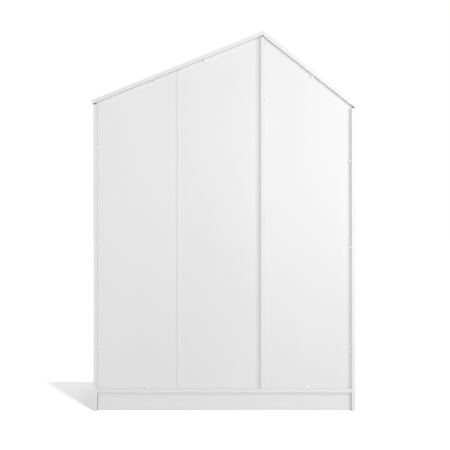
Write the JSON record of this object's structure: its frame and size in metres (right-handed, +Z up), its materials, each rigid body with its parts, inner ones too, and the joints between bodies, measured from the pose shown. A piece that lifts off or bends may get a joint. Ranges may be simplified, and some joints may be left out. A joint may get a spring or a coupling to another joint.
{
  "type": "house-shaped wardrobe",
  "caption": "Free-standing white wardrobe with an off-centre pitched roof, hanging bay, shelf bay, sloped hinged doors and thin back panels held by clips.",
  "frame": {"origin": "on the floor, at the middle of the overall width and of the overall depth with the knobs", "axes": "+Z up, doors face -Y, thin back panels face +Y, the wide hanging bay is on the +X side"},
  "size_m": [1.164, 0.524, 1.655],
  "materials": {
    "white_board": "white melamine-faced chipboard, satin",
    "white_door_board": "white melamine-faced chipboard, satin",
    "white_hardboard": "white lacquered thin fibreboard, matt",
    "white_plastic": "moulded white plastic, satin",
    "white_lacquer": "turned wood, white satin lacquer",
    "zinc_steel": "bright zinc-plated steel",
    "cast_zinc": "die-cast zinc, matt",
    "beech": "plain beech, fluted",
    "chrome_tube": "chrome-plated steel tube"
  },
  "bodies": {
    "carcass": {"side_panel_wide": "white_board", "side_panel_narrow": "white_board", "divider": "white_board", "bottom_board": "white_board", "roof_board_wide": "white_board", "roof_board_narrow": "white_board", "plinth_front": "white_board", "plinth_rear": "white_board", "plinth_rib": "white_board", "hat_shelf": "white_board", "narrow_shelf_1": "white_board", "narrow_shelf_2": "white_board", "narrow_shelf_3": "white_board", "narrow_shelf_4": "white_board", "back_panel_outer": "white_hardboard", "back_panel_middle": "white_hardboard", "back_panel_narrow": "white_hardboard", "back_joint_strip": "white_plastic", "back_panel_clips": "white_plastic", "rail_sockets": "white_plastic", "plinth_blocks": "white_plastic", "magnetic_catches": "white_plastic", "cam_bolts": "zinc_steel", "divider_screws": "zinc_steel", "bracket_screws": "zinc_steel", "shelf_pins": "zinc_steel", "rail_socket_screws": "zinc_steel", "plinth_block_screws": "zinc_steel", "frame_leaf_screws": "zinc_steel", "eave_brackets_wide": "zinc_steel", "eave_brackets_narrow": "zinc_steel", "ridge_brackets_wide": "zinc_steel", "ridge_brackets_narrow": "zinc_steel", "cam_locks": "cast_zinc", "dowels": "beech", "hanging_rail": "chrome_tube", "door_outer_frame_leaves": "zinc_steel", "door_outer_hinge_pins": "zinc_steel", "door_inner_frame_leaves": "zinc_steel", "door_inner_hinge_pins": "zinc_steel", "door_narrow_frame_leaves": "zinc_steel", "door_narrow_hinge_pins": "zinc_steel"},
    "door_outer": {"door_outer": "white_door_board", "door_outer_leaves": "zinc_steel", "door_outer_leaf_screws": "zinc_steel", "door_outer_knob": "white_lacquer", "door_outer_knob_bolt": "zinc_steel", "door_outer_strike_plate": "zinc_steel"},
    "door_inner": {"door_inner": "white_door_board", "door_inner_leaves": "zinc_steel", "door_inner_leaf_screws": "zinc_steel", "door_inner_knob": "white_lacquer", "door_inner_knob_bolt": "zinc_steel", "door_inner_strike_plate": "zinc_steel"},
    "door_narrow": {"door_narrow": "white_door_board", "door_narrow_leaves": "zinc_steel", "door_narrow_leaf_screws": "zinc_steel", "door_narrow_knob": "white_lacquer", "door_narrow_knob_bolt": "zinc_steel", "door_narrow_strike_plate": "zinc_steel"}
  },
  "joints": [
    {"name": "door_outer_hinge", "type": "hinge", "parent": "carcass", "child": "door_outer", "pos_m": [0.55275, -0.2412, 0.72], "axis": [0, 0, 1], "range_deg": [0, 170]},
    {"name": "door_inner_hinge", "type": "hinge", "parent": "carcass", "child": "door_inner", "pos_m": [-0.15775, -0.2412, 0.87], "axis": [0, 0, -1], "range_deg": [0, 120]},
    {"name": "door_narrow_hinge", "type": "hinge", "parent": "carcass", "child": "door_narrow", "pos_m": [-0.55275, -0.2412, 0.72], "axis": [0, 0, -1], "range_deg": [0, 170]}
  ]
}
